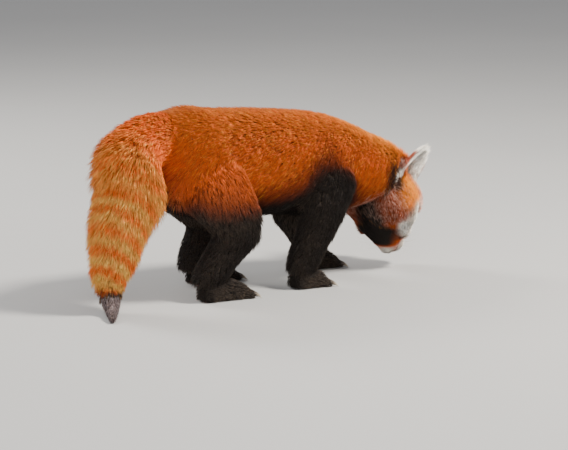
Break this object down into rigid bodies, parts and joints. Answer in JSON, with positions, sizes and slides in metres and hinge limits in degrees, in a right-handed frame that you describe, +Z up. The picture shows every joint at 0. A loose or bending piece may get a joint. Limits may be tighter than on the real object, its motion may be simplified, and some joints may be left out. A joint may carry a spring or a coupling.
{
  "type": "red panda",
  "caption": "Life-size red panda walking with its head lowered to sniff and its bushy, ringed tail hanging to the ground.",
  "frame": {"origin": "middle of the bounding box's footprint, on the floor", "axes": "+X the way the animal walks, +Y to its left, +Z up"},
  "size_m": [0.6298, 0.2094, 0.2805],
  "materials": {
    "coat_russet": "russet fur of the back, sides, neck, head and thighs",
    "coat_ginger": "ginger fur of the tail, with paler rings",
    "coat_dark": "blackish fur of the legs and paws",
    "coat_tip": "dark brown fur of the tail's tip",
    "coat_cream": "cream fur of the ears",
    "eye_dark": "wet, very dark eye",
    "nose_dark": "bare black nose"
  },
  "bodies": {
    "root": {"eye_left": "eye_dark", "eye_right": "eye_dark", "nose": "nose_dark", "head": "coat_russet", "ear_left": "coat_cream", "ear_right": "coat_cream", "neck": "coat_russet", "chest": "coat_russet", "loin": "coat_russet", "rump": "coat_russet", "paw_fore_right": "coat_dark", "lower_leg_fore_right": "coat_dark", "upper_leg_fore_right": "coat_dark", "paw_fore_left": "coat_dark", "lower_leg_fore_left": "coat_dark", "upper_leg_fore_left": "coat_dark", "paw_hind_right": "coat_dark", "lower_leg_hind_right": "coat_dark", "upper_leg_hind_right": "coat_russet", "paw_hind_left": "coat_dark", "lower_leg_hind_left": "coat_dark", "upper_leg_hind_left": "coat_russet", "tail_root": "coat_ginger", "tail_ring_1": "coat_ginger", "tail_ring_2": "coat_ginger", "tail_ring_3": "coat_ginger", "tail_ring_4": "coat_ginger", "tail_ring_5": "coat_ginger", "tail_ring_6": "coat_ginger", "tail_ring_7": "coat_ginger", "tail_tip": "coat_tip"}
  },
  "joints": []
}
